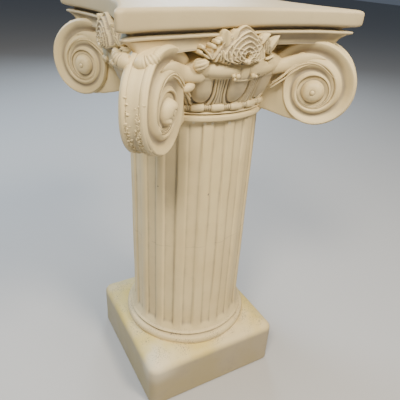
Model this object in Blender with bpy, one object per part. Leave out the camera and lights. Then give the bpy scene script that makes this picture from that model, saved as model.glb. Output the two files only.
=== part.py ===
"""Column pedestal: a plaster cast of a short fluted column with a square plinth and an Ionic
capital that has four corner scrolls, all cast as one piece. Metres, +Z up, front face towards -Y.
The origin is the middle of the underside."""
import math

import bmesh
import bpy
from mathutils import Matrix, Vector

# Plinth
PLINTH_SIDE = 0.300
PLINTH_HEIGHT = 0.105
PLINTH_CORNER = 0.018
PLINTH_TOP_ROUNDING = 0.014
PLINTH_FOOT_ROUNDING = 0.005
ROUNDING_PIECES = 3         # facets to each rounding of the plinth that shows
PLINTH_CROWN = ((0.93, 0.0035), (0.80, 0.0040))     # (share of the width, rise) of each step

# Turned column: 72 columns of points serve 18 flutes, 24 beads and 12 eggs
COLUMNS = 72
FRONT_ANGLE = 270.0
FLUTES = 18
FLUTE_DEPTH = 0.0030
FILLET_HALF_ANGLE = 3.8
FILLET_TURN = 4.0           # the nearest fillet stands this far round from the front
FLUTE_FLOOR_ANGLE = 2.1     # half the flat of a flute's floor
BEADS = 24
BEAD_NOTCH = 0.0030
EGGS = 12
SIDE_EGG_ANGLE = 24.5       # the webs at the corners crowd each side's outer eggs in to here
EGG_ANGLES = (0.0, 4.5, 7.5, 15.0, 22.5, 25.5)      # egg, its side, groove, dart, groove, side
EGG_RELIEF = (0.0085, 0.0060, 0.0, 0.0030, 0.0, 0.0060)

# Scrolls: places along the corner's diagonal, heights, and the spiral
EYE_OUT = 0.2076
EYE_HEIGHT = 0.638
SPIRAL_START = 150.0        # degrees, 0 points out along the diagonal, 90 up
SPIRAL_STEP = 20.0
SPIRAL_STEPS = 30
SPIRAL_OUTER = 0.086
SPIRAL_INNER = 0.022
SPIRAL_POWER = 1.4
FACE_OFFSET = 0.0245        # face to diagonal plane, at the eye
FACE_SPLAY = 0.115          # the faces close up towards the corner
TOP_PINCH = 0.006           # and over the top of the scroll
TOP_PINCH_ANGLE = 80.0
TOP_PINCH_WIDTH = 40.0
WHORL_RELIEF = ((0.0, 0.0), (0.12, 0.0030), (0.32, -0.0050), (0.72, 0.0010))
EYE_RELIEF = ((0.84, -0.0010), (0.55, 0.0060), (0.0, 0.0085))
WHORL_FULL_WIDTH = 0.030    # a narrower band of the spiral has less relief
WEB_HALF_THICKNESS = 0.021
WEB_OUTLINE = (             # (distance out along the diagonal, height)
    (0.100, 0.5980), (0.124, 0.5980), (0.150, 0.5940), (0.174, 0.5870), (0.190, 0.5900),
    (0.190, 0.6900), (0.100, 0.6950),
)

# Slab
SLAB_TOP = 0.763
SLAB_HALF_SIDE = 0.1840     # to where the horn is cut off
SLAB_HORN_REACH = 0.1885
SLAB_HOLLOW = 0.035
SLAB_POINTS_PER_SIDE = 10
SLAB_LEVELS = (             # (height, inset) from the bed moulding up to the top
    (0.7060, 0.0165),
    (0.7180, 0.0125),
    (0.7255, 0.0055),
    (0.7285, 0.0050),
    (0.7335, 0.0015),
    (0.7370, 0.0),
    (0.7590, 0.0),
    (0.7620, 0.0012),
    (SLAB_TOP, 0.0040),
)

# The cast isn't true: the slab is slightly turned, most of all at the front left horn, its mouldings
# rise under the front right horn, and the front left scroll hangs lower than the others
TWIST = -2.2
NEAR_TWIST = -2.3
TWIST_FROM = 0.690
TWIST_TO = 0.725
NEAR_ANGLE = 225.0
RIGHT_ANGLE = 315.0
RIGHT_LIFT = 0.005
LIFT_TO = 0.740             # above this the lift fades out towards the slab's level top
NEAR_STRETCH = 1.09
STRETCH_FROM = 0.713

# Rose in the middle of each side, and the drooping leaf under each corner
ROSE_PLACE = (0.0, -0.150, 0.706)
ROSE_HALF_WIDTH = 0.034
ROSE_HALF_HEIGHT = 0.030
ROSE_LEAF_REACH = 0.020
ROSE_LEAF_ANGLE = 22.0
ROSE_DEPTH = 0.021
ROSE_PETAL_RIPPLE = 0.0022
ROSE_PETAL_RINGS = 8.0      # ripples from the rose's heart to its rim
ROSE_LEAF_NARROWING = 6     # a higher power makes a narrower leaf spray
ROSE_LEAF_THINNING = 0.5    # the leaves stand half as proud as the rose
ROSE_FACETS = (14, 8)
LEAF_PLACE = (0.232, 0.0125, 0.7085)
LEAF_HALF_SIZES = (0.0155, 0.0135, 0.0190)
LEAF_FACETS = (7, 5)

WELD = 1e-6
SHARP_ANGLE = 35.0
PLASTER_COLOUR = (0.80, 0.72, 0.58)
PLASTER_ROUGHNESS = 0.62


def material(name, colour, roughness):
    mat = bpy.data.materials.new(name)
    mat.use_nodes = True
    shader = mat.node_tree.nodes["Principled BSDF"]
    shader.inputs["Base Color"].default_value = (*colour, 1.0)
    shader.inputs["Roughness"].default_value = roughness
    shader.inputs["Metallic"].default_value = 0.0
    return mat


def add_object(name, bm, collection):
    bmesh.ops.recalc_face_normals(bm, faces=bm.faces)
    mesh = bpy.data.meshes.new(name)
    bm.to_mesh(mesh)
    bm.free()
    mesh.shade_smooth()
    mesh.set_sharp_from_angle(angle=math.radians(SHARP_ANGLE))
    obj = bpy.data.objects.new(name, mesh)
    collection.objects.link(obj)
    return obj


def add_turned_copies(bm, count):
    """Copy everything in bm round the Z axis, count in all."""
    source = bm.verts[:] + bm.edges[:] + bm.faces[:]
    for i in range(1, count):
        copied = bmesh.ops.duplicate(bm, geom=source)["geom"]
        verts = [item for item in copied if isinstance(item, bmesh.types.BMVert)]
        turn = Matrix.Rotation(i * math.tau / count, 3, "Z")
        bmesh.ops.rotate(bm, verts=verts, cent=(0, 0, 0), matrix=turn)


def clamp(value):
    return min(max(value, 0.0), 1.0)


def towards(point, angle):
    """1 in the direction of the angle, falling to 0 a quarter turn away from it."""
    return max(math.cos(math.atan2(point.y, point.x) - math.radians(angle)), 0.0) ** 2


def rack_slab(bm):
    """Turn and lift the slab and the leaves under it as the cast is."""
    for vert in bm.verts:
        share = clamp((vert.co.z - TWIST_FROM) / (TWIST_TO - TWIST_FROM))
        turn = TWIST + NEAR_TWIST * towards(vert.co, NEAR_ANGLE)
        fade = clamp((SLAB_TOP - vert.co.z) / (SLAB_TOP - LIFT_TO))
        lift = RIGHT_LIFT * towards(vert.co, RIGHT_ANGLE) * fade
        vert.co = Matrix.Rotation(math.radians(turn * share), 3, "Z") @ vert.co
        vert.co.z += lift


def hang_near_scroll(bm):
    for vert in bm.verts:
        if vert.co.x < 0.0 and vert.co.y < 0.0 and vert.co.z < STRETCH_FROM:
            vert.co.z = STRETCH_FROM - (STRETCH_FROM - vert.co.z) * NEAR_STRETCH


def make_plinth(collection):
    bm = bmesh.new()
    bmesh.ops.create_cube(bm, size=1.0)
    bmesh.ops.scale(bm, vec=(PLINTH_SIDE, PLINTH_SIDE, PLINTH_HEIGHT), verts=bm.verts)
    bmesh.ops.translate(bm, vec=(0, 0, PLINTH_HEIGHT / 2), verts=bm.verts)
    upright = [e for e in bm.edges if abs(e.verts[0].co.z - e.verts[1].co.z) > PLINTH_HEIGHT / 2]
    bmesh.ops.bevel(bm, geom=upright, offset=PLINTH_CORNER, segments=ROUNDING_PIECES,
                    profile=0.5, affect="EDGES")
    for side, rounding, pieces in (
            (1, PLINTH_TOP_ROUNDING, ROUNDING_PIECES), (-1, PLINTH_FOOT_ROUNDING, 1)):
        flat = max(bm.faces, key=lambda face: side * face.calc_center_median().z)
        bmesh.ops.bevel(bm, geom=flat.edges[:], offset=rounding, segments=pieces,
                        profile=0.5, affect="EDGES")
    crown = max(bm.faces, key=lambda face: face.calc_center_median().z)
    for share, rise in PLINTH_CROWN:
        crown = bmesh.ops.extrude_discrete_faces(bm, faces=[crown])["faces"][0]
        bmesh.ops.scale(bm, vec=(share, share, 1), verts=crown.verts)
        bmesh.ops.translate(bm, vec=(0, 0, rise), verts=crown.verts)
    return add_object("plinth", bm, collection)


def add_sheet(bm, columns, rows, place):
    """Add a grid of faces whose corner (i, j) stands at place(i, j)."""
    verts = bmesh.ops.create_grid(bm, x_segments=columns, y_segments=rows, size=0.5)["verts"]
    for vert in verts:
        i = round((vert.co.x + 0.5) * columns)
        j = round((vert.co.y + 0.5) * rows)
        vert.co = place(i, j)


def close_up(bm):
    """Weld the seams of wrapped sheets and cap what is still open."""
    bmesh.ops.remove_doubles(bm, verts=bm.verts, dist=WELD)
    bmesh.ops.dissolve_degenerate(bm, edges=bm.edges, dist=WELD)
    bmesh.ops.holes_fill(bm, edges=[edge for edge in bm.edges if edge.is_boundary], sides=0)


def column_levels():
    """Radius, height, pattern and strength of each level of the turned column, from the foot up."""
    foot = [
        (0.1200, 0.0950), (0.1325, 0.1130), (0.1333, 0.1190), (0.1290, 0.1265), (0.1228, 0.1290),
        (0.1250, 0.1325),
    ]
    shaft = [(0.1195, 0.1390, 0.0), (0.1162, 0.1560, 1.0), (0.1173, 0.5740, 1.0), (0.1192, 0.5915, 0.0)]
    neck = [(0.1240, 0.5934), (0.1256, 0.5985), (0.1214, 0.6017), (0.1238, 0.6040), (0.1230, 0.6080)]
    beads = [(0.1262, 0.6112), (0.1275, 0.6150), (0.1262, 0.6188)]
    bell = [
        (0.1228, 0.6212, 0.0), (0.1285, 0.6330, 0.85), (0.1355, 0.6490, 1.0), (0.1405, 0.6620, 0.6),
        (0.1440, 0.6675, 0.0),
    ]
    roll = [(0.1505, 0.6715), (0.1532, 0.6795), (0.1500, 0.6900), (0.1380, 0.7200)]
    levels = [(r, z, "flute", 0.0) for r, z in foot]
    levels += [(r, z, "flute", strength) for r, z, strength in shaft]
    levels += [(r, z, "plain", 0.0) for r, z in neck]
    levels += [(r, z, "bead", 1.0) for r, z in beads]
    levels += [(r, z, "egg", strength) for r, z, strength in bell]
    levels += [(r, z, "plain", 0.0) for r, z in roll]
    return levels


def crowded(angle):
    """Moves an evenly spaced angle to where the eggs of its side really stand."""
    pitch = 360.0 / EGGS
    side = 90.0 * round(angle / 90.0)
    off = angle - side
    if abs(off) <= pitch:
        return side + off * SIDE_EGG_ANGLE / pitch
    share = (abs(off) - pitch) / (45.0 - pitch)
    return side + math.copysign(SIDE_EGG_ANGLE + share * (45.0 - SIDE_EGG_ANGLE), off)


def column_point(index, radius, pattern, strength):
    """Angle in degrees and radius of a level's point in one of its COLUMNS columns."""
    if pattern == "flute":
        group, place = divmod(index, COLUMNS // FLUTES)
        pitch = 360.0 / FLUTES
        floor = pitch / 2 - FLUTE_FLOOR_ANGLE
        angles = (-FILLET_HALF_ANGLE, FILLET_HALF_ANGLE, floor, pitch - floor)
        depth = FLUTE_DEPTH * strength if place >= 2 else 0.0
        return FRONT_ANGLE + FILLET_TURN + group * pitch + angles[place], radius - depth
    if pattern == "egg":
        group, place = divmod(index, COLUMNS // EGGS)
        relief = EGG_RELIEF[place] * strength
        return FRONT_ANGLE + crowded(group * 360.0 / EGGS + EGG_ANGLES[place]), radius + relief
    notch = BEAD_NOTCH if pattern == "bead" and index % (COLUMNS // BEADS) == 0 else 0.0
    return FRONT_ANGLE + index * 360.0 / COLUMNS, radius - notch


def make_column(collection):
    levels = column_levels()

    def place(i, j):
        radius, height, pattern, strength = levels[j]
        angle, out = column_point(i % COLUMNS, radius, pattern, strength)
        turn = math.radians(angle)
        return out * math.cos(turn), out * math.sin(turn), height

    bm = bmesh.new()
    add_sheet(bm, COLUMNS, len(levels) - 1, place)
    close_up(bm)
    return add_object("column_pedestal", bm, collection)


def spiral_radius(step):
    share = min(step / SPIRAL_STEPS, 1.0)
    return SPIRAL_INNER + (SPIRAL_OUTER - SPIRAL_INNER) * (1.0 - share) ** SPIRAL_POWER


def scroll_face_point(radius, angle, relief):
    """A point of the scroll's face, with +X out along the corner's diagonal and +Y across it."""
    out = radius * math.cos(angle)
    from_pinch = (math.degrees(angle) - TOP_PINCH_ANGLE + 180.0) % 360.0 - 180.0
    pinch = TOP_PINCH * math.exp(-((from_pinch / TOP_PINCH_WIDTH) ** 2)) * (radius / SPIRAL_OUTER) ** 2
    across = FACE_OFFSET - FACE_SPLAY * out - pinch + relief
    return EYE_OUT + out, across, EYE_HEIGHT + radius * math.sin(angle)


def whorl_point(i, j):
    """Corner i along the spiral and j across its band, whose inner edge is the next turn's rim."""
    angle = math.radians(SPIRAL_START - SPIRAL_STEP * i)
    outer = spiral_radius(i)
    inner = spiral_radius(i + round(360.0 / SPIRAL_STEP))
    share, relief = (*WHORL_RELIEF, (1.0, 0.0))[j]
    fade = min((outer - inner) / WHORL_FULL_WIDTH, 1.0)
    return scroll_face_point(outer + (inner - outer) * share, angle, relief * fade)


def eye_point(i, j):
    share, relief = ((1.0, 0.0), *EYE_RELIEF)[j]
    angle = math.radians(SPIRAL_START - SPIRAL_STEP * i)
    return scroll_face_point(SPIRAL_INNER * share, angle, relief)


def make_scrolls(collection):
    """Two spiral faces back to back at each corner, with the ribbon between their rims."""
    bm = bmesh.new()
    add_sheet(bm, SPIRAL_STEPS, len(WHORL_RELIEF), whorl_point)
    add_sheet(bm, round(360.0 / SPIRAL_STEP), len(EYE_RELIEF), eye_point)
    bmesh.ops.remove_doubles(bm, verts=bm.verts, dist=WELD)
    bmesh.ops.dissolve_degenerate(bm, edges=bm.edges, dist=WELD)
    back = bmesh.ops.duplicate(bm, geom=bm.verts[:] + bm.edges[:] + bm.faces[:])["geom"]
    back_verts = [item for item in back if isinstance(item, bmesh.types.BMVert)]
    bmesh.ops.scale(bm, vec=(1, -1, 1), verts=back_verts)
    bmesh.ops.bridge_loops(bm, edges=[edge for edge in bm.edges if edge.is_boundary])
    bmesh.ops.rotate(bm, verts=bm.verts, cent=(0, 0, 0), matrix=Matrix.Rotation(math.pi / 4, 3, "Z"))
    add_turned_copies(bm, 4)
    hang_near_scroll(bm)
    return add_object("scrolls", bm, collection)


def make_webs(collection):
    """The solid neck that carries each scroll out from the bell."""
    bm = bmesh.new()
    outline = [bm.verts.new((out, -WEB_HALF_THICKNESS, height)) for out, height in WEB_OUTLINE]
    bm.faces.new(outline)
    extruded = bmesh.ops.extrude_face_region(bm, geom=bm.faces[:])["geom"]
    moved = [item for item in extruded if isinstance(item, bmesh.types.BMVert)]
    bmesh.ops.translate(bm, vec=(0, 2 * WEB_HALF_THICKNESS, 0), verts=moved)
    bmesh.ops.rotate(bm, verts=bm.verts, cent=(0, 0, 0), matrix=Matrix.Rotation(math.pi / 4, 3, "Z"))
    add_turned_copies(bm, 4)
    hang_near_scroll(bm)
    return add_object("scroll_webs", bm, collection)


def slab_point(index, inset):
    """A point of the slab's plan: four hollowed sides that meet in narrow horns."""
    side, place = divmod(index, SLAB_POINTS_PER_SIDE + 1)
    end = SLAB_HALF_SIDE - inset / (1.0 - 2.0 * SLAB_HOLLOW / SLAB_HALF_SIDE)
    along = end * (2.0 * place / SLAB_POINTS_PER_SIDE - 1.0)
    hollow = SLAB_HOLLOW * (1.0 - (along / SLAB_HALF_SIDE) ** 2)
    point = Vector((along, -(SLAB_HORN_REACH - inset - hollow), 0.0))
    return Matrix.Rotation(side * math.tau / 4, 3, "Z") @ point


def make_slab(collection):
    count = 4 * (SLAB_POINTS_PER_SIDE + 1)

    def place(i, j):
        height, inset = SLAB_LEVELS[j]
        x, y, _ = slab_point(i % count, inset)
        return x, y, height

    bm = bmesh.new()
    add_sheet(bm, count, len(SLAB_LEVELS) - 1, place)
    close_up(bm)
    rack_slab(bm)
    return add_object("slab", bm, collection)


def make_roses(collection):
    """A full-blown rose with a spray of leaves to each side, as one swelling per face."""
    bm = bmesh.new()
    across, along = ROSE_FACETS
    ball = bmesh.ops.create_uvsphere(bm, u_segments=across, v_segments=along, radius=1.0)["verts"]
    for vert in ball:
        polar = math.acos(min(max(vert.co.z, -1.0), 1.0))
        around = math.atan2(vert.co.y, vert.co.x)
        spread = math.sin(polar)
        leaf = 0.0
        for direction in (ROSE_LEAF_ANGLE, 180.0 - ROSE_LEAF_ANGLE):
            leaf += max(math.cos(around - math.radians(direction)), 0.0) ** ROSE_LEAF_NARROWING
        wide = ROSE_HALF_WIDTH + ROSE_LEAF_REACH * leaf
        high = ROSE_HALF_HEIGHT + ROSE_LEAF_REACH * leaf
        ripple = ROSE_PETAL_RIPPLE * math.cos(polar * ROSE_PETAL_RINGS)
        vert.co = (
            ROSE_PLACE[0] + wide * spread * math.cos(around),
            ROSE_PLACE[1] - ROSE_DEPTH * vert.co.z * (1.0 - ROSE_LEAF_THINNING * leaf * spread) - ripple,
            ROSE_PLACE[2] + high * spread * math.sin(around),
        )
    add_turned_copies(bm, 4)
    return add_object("roses", bm, collection)


def make_corner_leaves(side, collection):
    """The rolled-over half of the leaf under each horn, on one side of the diagonal."""
    out, across, height = LEAF_PLACE
    bm = bmesh.new()
    bmesh.ops.create_uvsphere(bm, u_segments=LEAF_FACETS[0], v_segments=LEAF_FACETS[1], radius=1.0)
    bmesh.ops.scale(bm, vec=LEAF_HALF_SIZES, verts=bm.verts)
    bmesh.ops.translate(bm, vec=(out, side * across, height), verts=bm.verts)
    bmesh.ops.rotate(bm, verts=bm.verts, cent=(0, 0, 0), matrix=Matrix.Rotation(math.pi / 4, 3, "Z"))
    add_turned_copies(bm, 4)
    rack_slab(bm)
    return add_object("corner_leaves_left" if side > 0 else "corner_leaves_right", bm, collection)


def cast_together(body, shapes):
    """Join each shape to the body with a Boolean union and keep it only as its guide."""
    for shape in shapes:
        union = body.modifiers.new(shape.name, "BOOLEAN")
        union.operation = "UNION"
        union.solver = "EXACT"
        union.object = shape
        shape.hide_render = True
        shape.display_type = "WIRE"


for old in list(bpy.data.objects):
    bpy.data.objects.remove(old, do_unlink=True)
parts = bpy.data.collections.new("column_pedestal")
guides = bpy.data.collections.new("joined_shapes")
for group in (parts, guides):
    bpy.context.scene.collection.children.link(group)

pedestal = make_column(parts)
pedestal.data.materials.append(material("cast_plaster", PLASTER_COLOUR, PLASTER_ROUGHNESS))
cast_together(pedestal, [
    make_plinth(guides),
    make_webs(guides),
    make_scrolls(guides),
    make_slab(guides),
    make_roses(guides),
    make_corner_leaves(1, guides),
    make_corner_leaves(-1, guides),
])
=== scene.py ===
"""Column pedestal: a plaster cast of a short fluted column with a square plinth and an Ionic
capital. It is one casting, and its finely carved surfaces are built here course by course."""
import math
import random

import bmesh
import bpy
import numpy as np
from mathutils import Matrix, Vector, noise


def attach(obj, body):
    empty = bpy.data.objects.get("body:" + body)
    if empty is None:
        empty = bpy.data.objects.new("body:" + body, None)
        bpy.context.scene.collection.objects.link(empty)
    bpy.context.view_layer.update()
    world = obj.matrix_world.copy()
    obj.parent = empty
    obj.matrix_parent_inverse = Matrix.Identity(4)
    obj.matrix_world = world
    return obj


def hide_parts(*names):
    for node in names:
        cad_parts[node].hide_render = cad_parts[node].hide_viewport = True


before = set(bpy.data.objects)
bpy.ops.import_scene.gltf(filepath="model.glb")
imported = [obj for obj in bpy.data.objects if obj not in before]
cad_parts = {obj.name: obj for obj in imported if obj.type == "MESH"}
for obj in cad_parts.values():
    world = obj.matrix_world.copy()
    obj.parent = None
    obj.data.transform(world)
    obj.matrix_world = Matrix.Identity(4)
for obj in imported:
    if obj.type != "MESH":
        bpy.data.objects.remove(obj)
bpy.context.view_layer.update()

# --- Plinth ---
# The square base of the casting, solid ivory plaster poured with the rest in a rubber mould.
# Its edges are soft and a little uneven, and its top swells up towards the round foot.
PLINTH_HALF = 0.150
PLINTH_HEIGHT = 0.105
PLINTH_CORNER = 0.019
PLINTH_TOP_ROUNDING = 0.015
PLINTH_FOOT_ROUNDING = 0.006
PLINTH_CROWN = 0.0085
PLINTH_CROWN_WIDTH = 0.034
PLINTH_LEAST_CORNER = 0.004
PLINTH_CUTS = 55
PLINTH_WAVE = 0.0009
PLINTH_WAVE_SIZES = (0.07, 0.023)
PLINTH_FINE_SHARE = 0.35
PLINTH_WORN_SHARE = 0.2
PLINTH_WAVE_STARTS = 0.01
PLASTER_PALE = (0.640, 0.512, 0.278, 1.0)
PLASTER_YELLOW = (0.605, 0.465, 0.132, 1.0)
# Greyer plaster colour for random patches and the slab's tone, also used to paint shade on the plinth's
# sides.
PLASTER_DULL_AND_SHADE = (0.256, 0.218, 0.156, 1.0)
CHALK = (0.70, 0.62, 0.44, 1.0)
# Dark grime colour, also used to paint shade in hollows and on undersides.
GRIME_AND_SHADE = (0.120, 0.101, 0.092, 1.0)
CLOUDS = (9.0, 3.0)
PATCHES = (38.0, 4.0, 0.6)
SPECKS = (420.0, 2.0, 0.7)
FINE_GRAIN = (130.0, 3.0, 0.6)
# Below these heights the plinth's sides are painted darker as shade.
SHADED_SIDES_END = (0.085, 0.102)
SIDES_SHADE = 0.75
SLAB_STARTS = (0.705, 0.730)
PATCH_DULLNESS = 0.10
# Strength of the darkening in hollows and on undersides: real grime plus painted shade.
HOLLOW_DIRT_AND_SHADE = 0.66
# How far a surface must face down before it is painted darker as shade, and the most it takes.
UNDERSIDE_SHADE = (0.12, 0.36)
LEDGE_STARTS = (0.096, 0.108)
LEDGE_ENDS = (0.126, 0.150)
LEDGE_DIRT = 0.7
MARKS = ((257.7, 0.4564), (212.43, 0.4639), (307.0, 0.3331))
MARK_RADIUS = 0.1160
MARK_SIZE = (0.0013, 0.0026)
SEAM_TILT = (-0.08, 0.03, 1.0)
SEAM_HEIGHT = 0.3447
SEAM_DIRT = 0.28
CHIPS = ((241.9, 0.5875), (250.96, 0.5868), (257.2, 0.5869), (272.26, 0.5855))
CHIP_RADIUS = 0.1165
CHIP_SIZE = (0.0020, 0.0034)
SPOT_STRENGTH = 0.9
RUBBED_PLACE = (-0.128, -0.128, 0.108)
RUBBED_SIZE = (0.012, 0.060)
RUBBED_SHARE = 0.7


class Wire:
    """A value in a finish. Sums on wires add Math nodes, and node() adds any other node."""

    def __init__(self, tree, socket=None):
        self.tree = tree
        self.socket = socket

    def node(self, kind, settings, inputs, output=0):
        made = self.tree.nodes.new(kind)
        for name, setting in settings.items():
            setattr(made, name, setting)
        for name, value in inputs.items():
            if isinstance(value, Wire):
                self.tree.links.new(value.socket, made.inputs[name])
            else:
                made.inputs[name].default_value = value
        return Wire(self.tree, made.outputs[output])

    def sum(self, operation, first, second):
        return self.node("ShaderNodeMath", {"operation": operation}, {0: first, 1: second})

    def __add__(self, other):
        return self.sum("ADD", self, other)

    def __radd__(self, other):
        return self.sum("ADD", other, self)

    def __sub__(self, other):
        return self.sum("SUBTRACT", self, other)

    def __rsub__(self, other):
        return self.sum("SUBTRACT", other, self)

    def __mul__(self, other):
        return self.sum("MULTIPLY", self, other)

    def __rmul__(self, other):
        return self.sum("MULTIPLY", other, self)

    def between(self, low, high):
        """0 below low, 1 above high and a soft step between."""
        settings = {"interpolation_type": "SMOOTHSTEP"}
        inputs = {"Value": self, "From Min": low, "From Max": high}
        return self.node("ShaderNodeMapRange", settings, inputs)


def blend(share, first, second):
    return share.node("ShaderNodeMix", {"data_type": "RGBA"}, {0: share, 6: first, 7: second}, 2)


def plaster_finish(name, main, slab_dullness=0.0):
    """Ivory plaster: cloudy colour, grime with painted shade in the hollows, painted shade on undersides
    and on the plinth's lower sides, wear, and a fine matt grain.
    """
    material = bpy.data.materials.new(name)
    material.use_nodes = True
    tree = material.node_tree
    surface = tree.nodes["Principled BSDF"]
    start = Wire(tree)
    place = start.node("ShaderNodeTexCoord", {}, {}, "Object")
    height = start.node("ShaderNodeSeparateXYZ", {}, {"Vector": place}, "Z")
    hollow = start.node("ShaderNodeAttribute", {"attribute_name": "hollow"}, {}, "Fac")

    def grain(scale, detail, roughness=0.5):
        inputs = {"Vector": place, "Scale": scale, "Detail": detail, "Roughness": roughness}
        return start.node("ShaderNodeTexNoise", {}, inputs, "Fac")

    def measured(operation, other):
        settings = {"operation": operation}
        return start.node("ShaderNodeVectorMath", settings, {0: place, 1: other}, "Value")

    def spots(places, radius, size):
        """A mask for each small round spot, given by degrees round the shaft and height."""
        for degrees, up in places:
            turn = math.radians(degrees)
            middle = (radius * math.cos(turn), radius * math.sin(turn), up)
            yield (1.0 - measured("DISTANCE", middle).between(*size)) * SPOT_STRENGTH

    clouds = grain(*CLOUDS)
    patches = grain(*PATCHES)
    specks = grain(*SPECKS)
    colour = blend(clouds.between(0.38, 0.66), main, PLASTER_PALE)
    # Painted shade: the plinth's sides darker than its top, fading in over the top rounding.
    shade_and_dullness = (1.0 - height.between(*SHADED_SIDES_END)) * SIDES_SHADE
    shade_and_dullness = shade_and_dullness + height.between(*SLAB_STARTS) * slab_dullness
    colour = blend(shade_and_dullness + patches.between(0.52, 0.80) * PATCH_DULLNESS, colour, PLASTER_DULL_AND_SHADE)
    # Grime with painted shade: darker in hollows and on down-facing surfaces, read from the hollow
    # attribute.
    dirt_and_shade = (hollow + (patches - 0.5) * 0.25).between(0.10, 0.58) * HOLLOW_DIRT_AND_SHADE
    ledge = height.between(*LEDGE_STARTS) * (1.0 - height.between(*LEDGE_ENDS))
    dirt_and_shade = dirt_and_shade + ledge * specks.between(0.54, 0.64) * patches.between(0.42, 0.56) * LEDGE_DIRT
    for mark in spots(MARKS, MARK_RADIUS, MARK_SIZE):
        dirt_and_shade = dirt_and_shade + mark
    seam = measured("DOT_PRODUCT", SEAM_TILT)
    below = seam.between(SEAM_HEIGHT - 0.0010, SEAM_HEIGHT - 0.0003)
    seam = below * (1.0 - seam.between(SEAM_HEIGHT + 0.0003, SEAM_HEIGHT + 0.0010))
    dirt_and_shade = dirt_and_shade + seam * patches.between(0.40, 0.56) * SEAM_DIRT
    for chip in spots(CHIPS, CHIP_RADIUS, CHIP_SIZE):
        colour = blend(chip, colour, CHALK)
    rubbed = 1.0 - measured("DISTANCE", RUBBED_PLACE).between(*RUBBED_SIZE)
    colour = blend(rubbed * clouds.between(0.30, 0.60) * RUBBED_SHARE, colour, CHALK)
    colour = blend(dirt_and_shade, colour, GRIME_AND_SHADE)
    tree.links.new(colour.socket, surface.inputs["Base Color"])
    rough = 0.50 + clouds * 0.10 + dirt_and_shade * 0.20
    tree.links.new(rough.socket, surface.inputs["Roughness"])
    relief = patches * 0.5 + grain(*FINE_GRAIN) * 0.35 + specks * 0.15
    bump = {"Strength": 0.28, "Distance": 0.0016, "Height": relief}
    normal = start.node("ShaderNodeBump", {}, bump)
    tree.links.new(normal.socket, surface.inputs["Normal"])
    surface.inputs["Specular IOR Level"].default_value = 0.42
    return material


def close_rims(made):
    bmesh.ops.holes_fill(made, edges=[edge for edge in made.edges if edge.is_boundary], sides=0)


def cast_piece(made, name, finish, spread):
    """Closes the mesh, turns it out, marks its hollows for grime and painted shade and its undersides for
    painted shade, and makes it a piece of the casting.
    """
    bmesh.ops.remove_doubles(made, verts=made.verts, dist=1e-6)
    close_rims(made)
    bmesh.ops.recalc_face_normals(made, faces=made.faces)
    mesh = bpy.data.meshes.new(name)
    made.to_mesh(mesh)
    made.free()
    mesh.shade_smooth()
    mark_grime_and_shade(mesh, spread)
    mesh.materials.append(finish)
    return placed(name, mesh)


def placed(name, data):
    made = bpy.data.objects.new(name, data)
    bpy.context.scene.collection.objects.link(made)
    return made


def rows_of(items, name, width, kind=float):
    values = np.empty(len(items) * width, kind)
    items.foreach_get(name, values)
    return values.reshape(-1, width)


def mark_grime_and_shade(mesh, spread):
    """Stores how deep in a hollow each point lies and how far it faces down, 0 to 1: hollows take real dust
    that stays when it is wiped plus painted shade, undersides take painted shade.
    """
    count = len(mesh.vertices)
    places = rows_of(mesh.vertices, "co", 3)
    facing = rows_of(mesh.vertices, "normal", 3)
    ends = rows_of(mesh.edges, "vertices", 2, int)
    first, second = ends.T
    along = places[second] - places[first]
    along /= np.maximum(np.linalg.norm(along, axis=1), 1e-9)[:, None]
    rise = np.bincount(first, (along * facing[first]).sum(1), count)
    rise -= np.bincount(second, (along * facing[second]).sum(1), count)
    degree = np.maximum(np.bincount(ends.ravel(), minlength=count), 1)
    rise = np.clip(rise / degree * 3.0, -1.0, 1.0)
    for _ in range(spread):
        near = np.bincount(first, rise[second], count) + np.bincount(second, rise[first], count)
        rise = 0.5 * rise + 0.5 * near / degree
    layer = mesh.attributes.new("hollow", "FLOAT", "POINT")
    # Down-facing surfaces are marked darker as painted shade.
    under = np.clip(-facing[:, 2] - UNDERSIDE_SHADE[0], 0.0, UNDERSIDE_SHADE[1])
    layer.data.foreach_set("value", np.clip(rise * 2.0 + under, 0.0, 1.0))


def ease(value):
    """A soft step from 0 to 1."""
    value = min(max(value, 0.0), 1.0)
    return value * value * (3.0 - 2.0 * value)


def ramp(value, start, width):
    """A soft step from 0 at the start to 1 a width on, the other way if the width is below 0."""
    return ease((value - start) / width)


def wave(point, size, height):
    """The slow unevenness of a hand-rubbed cast, the same at every run."""
    return height * noise.noise(Vector(point) / size)


def rounded(low, high, rounding):
    """Moves a pair of depths inside an edge on to its rounding."""
    reach = max(low, high)
    length = math.hypot(low, high)
    if length < 1e-9:
        return 0.0, 0.0
    return low / length * reach * rounding, high / length * reach * rounding


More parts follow.
